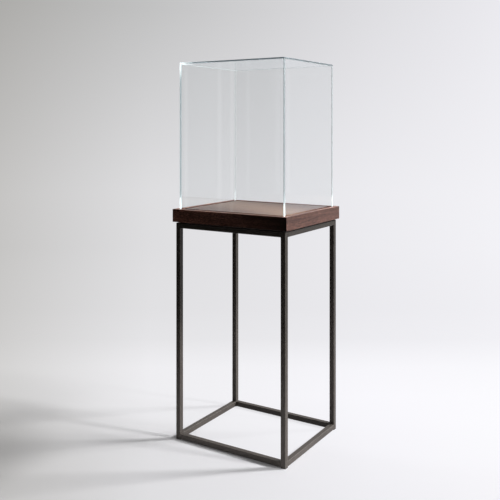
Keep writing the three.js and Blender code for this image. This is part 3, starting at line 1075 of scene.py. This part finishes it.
class CASE_OT_edge_lippings(Operator):
    """Mitre the four lippings round the deck"""

    bl_idname = "display_case.edge_lippings"
    bl_label = "Edge Lippings"

    def execute(self, context):
        deck = context.scene.display_case.deck
        thickness = LIPPING_HIGH.y - LIPPING_LOW.y
        height = LIPPING_HIGH.z - LIPPING_LOW.z
        for quarter, side in enumerate(SIDES):
            length, across = DECK_WIDTH, DECK_DEPTH
            if side in ("left", "right"):
                length, across = across, length
            bm = lipping(length, thickness, height, deck.arris)
            turn = Matrix.Rotation(quarter * pi / 2, 4, "Z")
            place = turn @ Matrix.Translation((0, -across / 2, LIPPING_LOW.z))
            bmesh.ops.transform(bm, matrix=place, verts=bm.verts)
            finish = timber(f"deck_timber_{side}", deck, (0, 0, -quarter * pi / 2),
                            tuple(step * quarter for step in BOARD_SHIFT),
                            LIPPING_DEPTHS[side])
            piece = mesh_from(bm, f"deck_lipping_{side}", finish)
            show(piece, "stand", "deck_timber", f"lipping_{side}")
        return {"FINISHED"}


PANEL_CORNER = 1.0 * MM  # radius of the upright corners of the display panel
PANEL_STEPS = 4
UPRIGHT_FROM, LEVEL_WITHIN = 1e-5, 1e-6  # metres: tests for upright and for level edges


class CASE_OT_display_panel(Operator):
    """Lay the panel that carries the object on show"""

    bl_idname = "display_case.display_panel"
    bl_label = "Display Panel"

    def execute(self, context):
        deck = context.scene.display_case.deck
        bm = block_between(*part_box("display_panel"))
        top = max(vert.co.z for vert in bm.verts)
        corners = [edge for edge in bm.edges
                   if abs(edge.verts[0].co.z - edge.verts[1].co.z) > UPRIGHT_FROM]
        eased(bm, corners, PANEL_CORNER, PANEL_STEPS)
        rim = [edge for edge in bm.edges
               if all(abs(vert.co.z - top) < LEVEL_WITHIN for vert in edge.verts)]
        eased(bm, rim, deck.panel_arris, PANEL_STEPS)
        # Painted shade and light: the panel is darker at its left end and lighter at its right.
        # A band across it is painted paler as a sheen.
        finish = timber("deck_timber_panel", deck, shift=(0.9, 0.42, 0.3),
                        depths=(0.65, 1.5), sheen=0.3, painted_sheen=0.6, top_depth=0.0)
        piece = mesh_from(bm, "deck_panel", finish)
        show(piece, "stand", "deck_timber", "display_panel")
        return {"FINISHED"}


class CASE_OT_deck_core(Operator):
    """Finish the board under the panel"""

    bl_idname = "display_case.deck_core"
    bl_label = "Deck Core"

    def execute(self, context):
        dress(["deck_core"], core_shade_finish(context.scene.display_case.deck))
        return {"FINISHED"}


FLAT_NORMAL = 0.99  # a face whose normal is this near an axis is no chamfer
# Share of painted glow and paler tint on chamfers, on ends and on the lid's ends.
CHAMFER_PALE, END_PALE, LID_END_PALE = 1.0, 0.6, 0.0
EDGE_REACH = 10 * MM  # faces this near the back left or front left corner are set apart: much painted glow at the back left edge, little at the front left ends
BACK_EDGE_PALE, FRONT_EDGE_PALE = 3.0, 0.1


class CASE_OT_glass_hood(Operator):
    """Cut the five panes and grind their edges"""

    bl_idname = "display_case.glass_hood"
    bl_label = "Glass Hood"

    def execute(self, context):
        hood = context.scene.display_case.hood
        clear = clear_glass(hood, "hood_glass_clear", hood.tint)
        # Painted shade: greyer copies of the clear glass for the lid and the left pane.
        tinted = {"top": clear_glass(hood, "hood_glass_lid", hood.lid_tint),
                  "left": clear_glass(hood, "hood_glass_left", hood.left_tint)}
        edge = glass_edge(hood)
        back_corner = Vector((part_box("glass_left")[0].x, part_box("glass_back")[1].y))
        front_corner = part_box("glass_front")[0].xy
        for name in (*SIDES, "top"):
            low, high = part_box(f"glass_{name}")
            thin = min(range(3), key=(high - low).__getitem__)
            end_pale = LID_END_PALE if name == "top" else END_PALE
            bm = block_between(low, high)
            eased(bm, bm.edges[:], hood.arris, 1)
            bmesh.ops.recalc_face_normals(bm, faces=bm.faces)
            mesh = settled(bm, f"hood_pane_{name}", tinted.get(name, clear), edge)
            # The pale attribute sets each face's share of painted glow and paler tint.
            pale = mesh.attributes.new("pale", "FLOAT", "FACE")
            for face, value in zip(mesh.polygons, pale.data):
                chamfered = max(map(abs, face.normal)) < FLAT_NORMAL
                value.value = CHAMFER_PALE if chamfered else end_pale
                if name != "top" and (face.center.xy - back_corner).length < EDGE_REACH:
                    value.value = BACK_EDGE_PALE
                if not chamfered and (face.center.xy - front_corner).length < EDGE_REACH:
                    value.value = FRONT_EDGE_PALE
                face.material_index = 0 if abs(face.normal[thin]) > FLAT_NORMAL else 1
            show(new_piece(f"hood_pane_{name}", mesh), "hood", "hood_glass", f"glass_{name}")
        return {"FINISHED"}


# ---- Studio --------------------------------------------------------------------------

# Tones of the room from left to right, high on the wall and on the floor: painted light, greyer
# to the left as the light falls off
WALL_TONES = (
    (0.0, (0.418, 0.412, 0.4)), (0.3, (0.535, 0.535, 0.537)),
    (0.74, (0.73, 0.726, 0.752)), (1.0, (0.826, 0.82, 0.858)))
FLOOR_TONES = (
    (0.0, (0.66, 0.652, 0.647)), (0.3, (0.885, 0.88, 0.905)),
    (0.74, (0.955, 0.95, 0.99)), (1.0, (0.972, 0.968, 1.0)))
# Share of the floor's tone from near to far, at the left and at the right: a painted pool of
# light round the case, with painted shade at its front left
NEAR_TO_FAR = (-0.5, 4.5)  # metres beyond the middle of the case
FLOOR_LEFT = ((0.0, 0.73), (0.1, 0.71), (0.18, 0.96), (0.26, 1.0), (0.36, 0.84), (0.5, 0.74),
              (1.0, 0.6))
FLOOR_RIGHT = ((0.0, 0.72), (0.06, 0.9), (0.12, 1.0), (0.18, 1.0), (0.26, 0.86), (0.36, 0.42),
               (0.5, 0.34), (1.0, 0.45))
WALL_FROM = 3.6  # level at which the wall has none of the floor's tone
NEAREST = -1.0  # the room keeps its tones nearer to the camera than this
PAST_RIGHT, PAST_RIGHT_DIM = (1.3, 3.0), 0.12  # darker, far round to the right: painted shade in what the right faces reflect

LIT_TO, UNLIT_FROM = 0.75, 1.9  # radii between which the floor stops taking shadows
BEHIND = (-0.207, 0.978, 0.0)  # shadows fade on this side of the case
BEHIND_FADE = (-0.1, 0.02)  # metres past the middle of the case
SHADOW_LEFT = 0.3  # share of the shadow that stays there, and under the deck
UNDER_DECK = (0.7, 1.05)  # shadows return between these shares of the stand's half size

FLOOR_SHARE = 0.9  # of the room's radius that is flat
FLOOR_RINGS = (0, 0.6, 1.5, 3.5)  # radii in the floor's mesh
COVE_STEPS = 10
WALL_SHARE = 0.8  # height of the wall, as a share of the room's radius
CEILING = ((1.0, 1.0), (0.5, 1.25), (0.0, 1.3))  # shares of the room's radius and height
ROOM_SEGMENTS = 96

SCREEN_START, SCREEN_END = radians(188), radians(305)
SCREEN_EDGE = radians(8)  # how softly the dark floor in front of the screen ends
FLOOR_DARK_FROM = (0.85, 1.3)  # radii between which the floor there gets dark
SCREEN_RADIUS, SCREEN_FOOT, SCREEN_TOP = 2.4, 2 * MM, 3.4
SCREEN_STEPS = 24
# Where each faint band stands round the case, half its width, and its level
SCREEN_BANDS = ((radians(232), radians(0.5), 0.4), (radians(237.4), radians(0.6), 0.45),
                (radians(239.4), radians(0.4), 0.4))

LAMP_DISTANCE = 8
KEY_TURN, FILL_TURN = radians(8), radians(-20)
SKY_TONE = (1.0, 0.99, 0.985, 1)
SKY_TOWARD = (0.6, 0.4, 0.69)  # the brightest part of the sky
SKY_LOW, SKY_HIGH = 0.07, 0.58
SENSOR, SIGHT = 36, 100  # millimetres, and metres
EDGE_BOUNCES = 64


def camera_axes(studio):
    """Unit vectors on the floor: to the camera's right, and away from the camera."""
    turn = studio.camera_turn
    return Vector((cos(turn), sin(turn), 0)), Vector((-sin(turn), cos(turn), 0))


def studio_colour(tree, studio):
    """The pale room by place, in painted light and shade: greyer to the left and upwards,
    brightest on the floor round the case, and darker far round to the right."""
    place = object_place(tree)
    right, away = camera_axes(studio)
    aside = vector_calc(tree, "DOT_PRODUCT", place, tuple(right)) - studio.camera_aside
    depth = vector_calc(tree, "DOT_PRODUCT", place, tuple(away))
    spread = calc(tree, "MAXIMUM", depth, NEAREST) * (1 / studio.camera_distance) + 1.0
    slant = aside / spread
    across = remap(tree, slant, -1.0, 1.0, 0.0, 1.0, "LINEAR")
    along = remap(tree, depth, *NEAR_TO_FAR, 0.0, 1.0, "LINEAR")
    on_floor = blend_colours(tree, across, ramp(tree, along, FLOOR_LEFT),
                             ramp(tree, along, FLOOR_RIGHT))
    level = parts_of(tree, place)[2]
    low = on_floor * remap(tree, level, 0.0, WALL_FROM, 1.0, 0.0, "LINEAR")
    tone = blend_colours(tree, low, ramp(tree, across, WALL_TONES),
                         ramp(tree, across, FLOOR_TONES))
    past = remap(tree, slant, *PAST_RIGHT, 0.0, PAST_RIGHT_DIM)
    return blend_colours(tree, past, tone, BLACK)


def shadow_share(tree, place, far):
    """How far the floor takes light and shadow: fully round the case, less behind it and
    under the deck, and not at all far out."""
    behind = vector_calc(tree, "DOT_PRODUCT", place, BEHIND)
    share = (remap(tree, far, LIT_TO, UNLIT_FROM, 1.0, 0.0)
             * remap(tree, behind, *BEHIND_FADE, 1.0, SHADOW_LEFT))
    x, y, _ = parts_of(tree, vector_calc(tree, "ABSOLUTE", vector_calc(
        tree, "MULTIPLY", place, (2 / STAND_WIDTH, 2 / STAND_DEPTH, 0.0))))
    outward = calc(tree, "MAXIMUM", x, y)
    return share * remap(tree, outward, *UNDER_DECK, SHADOW_LEFT, 1.0)


def bounced_light(tree):
    """1 for light that has already bounced off something, and 0 for what the eye sees
    straight, also through glass."""
    rays = add_node(tree, "ShaderNodeLightPath").outputs
    bounces = Value(tree, rays["Glossy Depth"]) + Value(tree, rays["Diffuse Depth"])
    return calc(tree, "MINIMUM", bounces, 1.0)


def heading_of(tree, place):
    """The compass angle of a place round the case, from 0 to a full turn."""
    x, y, _ = parts_of(tree, place)
    return calc(tree, "FLOORED_MODULO", calc(tree, "ARCTAN2", y, x), 2 * pi)


def toward_screen(tree, place):
    """1 on the side of the case where the dark screen stands."""
    heading = heading_of(tree, place)
    begins = remap(tree, heading, SCREEN_START - SCREEN_EDGE, SCREEN_START + SCREEN_EDGE,
                   0.0, 1.0)
    ends = remap(tree, heading, SCREEN_END - SCREEN_EDGE, SCREEN_END + SCREEN_EDGE, 1.0, 0.0)
    return begins * ends


def studio_finish(name, studio, matte):
    """Paint for floor and backdrop. It keeps its own colour for eyes, mirrors and glass,
    but a matte one takes light and shadow round the case, and is dark below the screen."""
    finish, tree = new_finish(name)
    tone = studio_colour(tree, studio)
    share = 0.0
    if matte:
        place = object_place(tree)
        far = vector_calc(tree, "LENGTH", place)
        share = shadow_share(tree, place, far)
    lit = output(tree, "ShaderNodeBsdfDiffuse", {
        "Color": blend_colours(tree, share, BLACK, tone)})
    seen = light_path(tree, "Camera", "Glossy", "Transmission")
    glow = output(tree, "ShaderNodeEmission", {"Color": tone, "Strength": seen * (1.0 - share)})
    surface = output(tree, "ShaderNodeAddShader", {0: lit, 1: glow})
    if matte:
        shade = bounced_light(tree) * (remap(tree, far, *FLOOR_DARK_FROM, 0.0, 1.0)
                                       * toward_screen(tree, place))
        dark = output(tree, "ShaderNodeEmission", {"Strength": 0.0})
        surface = mixed(tree, shade, surface, dark)
    return close_finish(finish, surface)


def turned_sheet(name, outline, finish):
    """A sheet of revolution round the upright axis from (radius, level) pairs."""
    bm = bmesh.new()
    rings = []
    for radius, level in outline:
        if radius == 0:
            rings.append([bm.verts.new((0, 0, level))] * ROOM_SEGMENTS)
            continue
        rings.append([
            bm.verts.new((radius * cos(2 * pi * step / ROOM_SEGMENTS),
                          radius * sin(2 * pi * step / ROOM_SEGMENTS), level))
            for step in range(ROOM_SEGMENTS)])
    for inner, outer in zip(rings, rings[1:]):
        for step in range(ROOM_SEGMENTS):
            beside = (step + 1) % ROOM_SEGMENTS
            corners = [inner[step], outer[step], outer[beside], inner[beside]]
            bm.faces.new(list(dict.fromkeys(corners)))
    for face in bm.faces:
        face.smooth = True
    sheet = new_piece(name, settled(bm, name, finish))
    return sheet


def studio_room(studio):
    """A round floor that sweeps up into a wall and a ceiling. Only the floor meets the
    light of the lamps."""
    radius = studio.room_radius
    flat = radius * FLOOR_SHARE
    cove = radius - flat
    height = radius * WALL_SHARE
    turned_sheet("studio_floor", [(reach, 0) for reach in (*FLOOR_RINGS, flat)],
                 studio_finish("studio_floor_paint", studio, True))
    sweep = [(flat + cove * sin(angle), cove * (1 - cos(angle)))
             for angle in (step * pi / (2 * COVE_STEPS) for step in range(COVE_STEPS + 1))]
    ceiling = [(radius * across, height * up) for across, up in CEILING]
    wall = turned_sheet("studio_wall", sweep + ceiling,
                        studio_finish("studio_wall_paint", studio, False))
    wall.visible_diffuse = False
    wall.visible_shadow = False


def screen_finish():
    """Black with three faint upright bands of light, and there only for light that has
    already bounced off something: nothing seen straight through the glass is hidden."""
    finish, tree = new_finish("studio_screen_black")
    heading = heading_of(tree, object_place(tree))
    glow = 0.0
    for middle, half_width, strength in SCREEN_BANDS:
        off = abs(heading - middle)
        glow = remap(tree, off, 0.0, half_width, strength, 0.0) + glow
    dark = output(tree, "ShaderNodeEmission", {"Strength": glow})
    clear = output(tree, "ShaderNodeBsdfTransparent")
    return close_finish(finish, mixed(tree, bounced_light(tree), clear, dark))


def dark_screen():
    """A black screen at the front left, which keeps the pale room out of the front faces."""
    bm = bmesh.new()
    posts = []
    for step in range(SCREEN_STEPS + 1):
        angle = SCREEN_START + (SCREEN_END - SCREEN_START) * step / SCREEN_STEPS
        x, y = SCREEN_RADIUS * cos(angle), SCREEN_RADIUS * sin(angle)
        posts.append([bm.verts.new((x, y, level)) for level in (SCREEN_FOOT, SCREEN_TOP)])
    for first, second in zip(posts, posts[1:]):
        bm.faces.new([first[0], second[0], second[1], first[1]])
    screen = new_piece("studio_screen", settled(bm, "studio_screen", screen_finish()))
    screen.visible_camera = False
    screen.visible_shadow = False


def hang_lamp(name, heading, share, size, height):
    """A far, soft-edged lamp that gives the floor this share of full light."""
    lamp = bpy.data.lights.new(name, "SUN")
    lamp.energy = share * pi / sin(height)
    lamp.angle = size
    direction = Vector((heading.x * cos(height), heading.y * cos(height), sin(height)))
    holder = new_piece(name, lamp)
    holder.location = direction * LAMP_DISTANCE
    holder.rotation_mode = "QUATERNION"
    holder.rotation_quaternion = direction.to_track_quat("Z", "Y")


def soft_sky():
    """Even light from all round, stronger from the right, the back and above."""
    world = bpy.data.worlds.new("studio_air")
    world.use_nodes = True
    tree = world.node_tree
    tree.nodes.clear()
    way = output(tree, "ShaderNodeTexCoord", key="Generated")
    toward = tuple(Vector(SKY_TOWARD).normalized())
    facing = calc(tree, "MAXIMUM", vector_calc(tree, "DOT_PRODUCT", way, toward), 0.0)
    sky = output(tree, "ShaderNodeBackground", {
        "Color": SKY_TONE, "Strength": facing * SKY_HIGH + SKY_LOW})
    add_node(tree, "ShaderNodeOutputWorld", {"Surface": sky})
    bpy.context.scene.world = world


def set_camera(studio):
    right, away = camera_axes(studio)
    eye = right * studio.camera_aside - away * studio.camera_distance
    camera = bpy.data.cameras.new("studio_camera")
    camera.sensor_width = SENSOR
    camera.lens = studio.camera_lens
    camera.shift_y = studio.camera_drop
    camera.clip_end = SIGHT
    holder = new_piece("studio_camera", camera)
    holder.location = (eye.x, eye.y, studio.camera_height)
    holder.rotation_euler = (pi / 2, 0, studio.camera_turn)
    bpy.context.scene.camera = holder


def follow_light_in_glass(cycles):
    """Enough bounces for light that runs along inside a pane to come out at its edge."""
    cycles.max_bounces = EDGE_BOUNCES
    cycles.glossy_bounces = EDGE_BOUNCES
    cycles.transmission_bounces = EDGE_BOUNCES
    cycles.transparent_max_bounces = EDGE_BOUNCES


class CASE_OT_studio(Operator):
    """Set up the room, the lamps and the camera"""

    bl_idname = "display_case.studio"
    bl_label = "Studio"

    def execute(self, context):
        studio = context.scene.display_case.studio
        context.scene.view_settings.view_transform = "Standard"
        right, away = camera_axes(studio)
        studio_room(studio)
        dark_screen()
        hang_lamp("lamp_key", right * cos(KEY_TURN) + away * sin(KEY_TURN),
                  studio.key_level, studio.key_size, studio.lamp_height)
        hang_lamp("lamp_fill", right * cos(FILL_TURN) + away * sin(FILL_TURN),
                  studio.fill_level, studio.fill_size, studio.lamp_height)
        soft_sky()
        set_camera(studio)
        follow_light_in_glass(context.scene.cycles)
        return {"FINISHED"}


# ---- Panel and run -------------------------------------------------------------------

PIECES = (
    CASE_OT_steel_stand,
    CASE_OT_weld_beads,
    CASE_OT_deck_screws,
    CASE_OT_small_parts,
    CASE_OT_edge_lippings,
    CASE_OT_display_panel,
    CASE_OT_deck_core,
    CASE_OT_glass_hood,
    CASE_OT_studio,
)
SETTINGS = (
    StandSettings, FixingSettings, DeckSettings, HoodSettings, StudioSettings, CaseSettings)


class CASE_PT_display_case(Panel):
    """Lists the pieces of the display case and their settings"""

    bl_idname = "CASE_PT_display_case"
    bl_label = "Display Case"
    bl_space_type = "VIEW_3D"
    bl_region_type = "UI"
    bl_category = "Display Case"

    def draw(self, context):
        for piece in PIECES:
            self.layout.operator(piece.bl_idname)
        settings = context.scene.display_case
        for group_name in CaseSettings.__annotations__:
            group = getattr(settings, group_name)
            box = self.layout.box()
            box.label(text=group_name.capitalize())
            for setting in type(group).__annotations__:
                box.prop(group, setting)


def register():
    for kind in (*SETTINGS, *PIECES, CASE_PT_display_case):
        bpy.utils.register_class(kind)
    bpy.types.Scene.display_case = PointerProperty(
        name="Display case", description="Sizes and colours of the case", type=CaseSettings)


def unregister():
    del bpy.types.Scene.display_case
    for kind in (CASE_PT_display_case, *reversed(PIECES), *reversed(SETTINGS)):
        bpy.utils.unregister_class(kind)


def main():
    register()
    for piece in PIECES:
        group, name = piece.bl_idname.split(".")
        getattr(getattr(bpy.ops, group), name)()


if __name__ == "__main__":
    main()
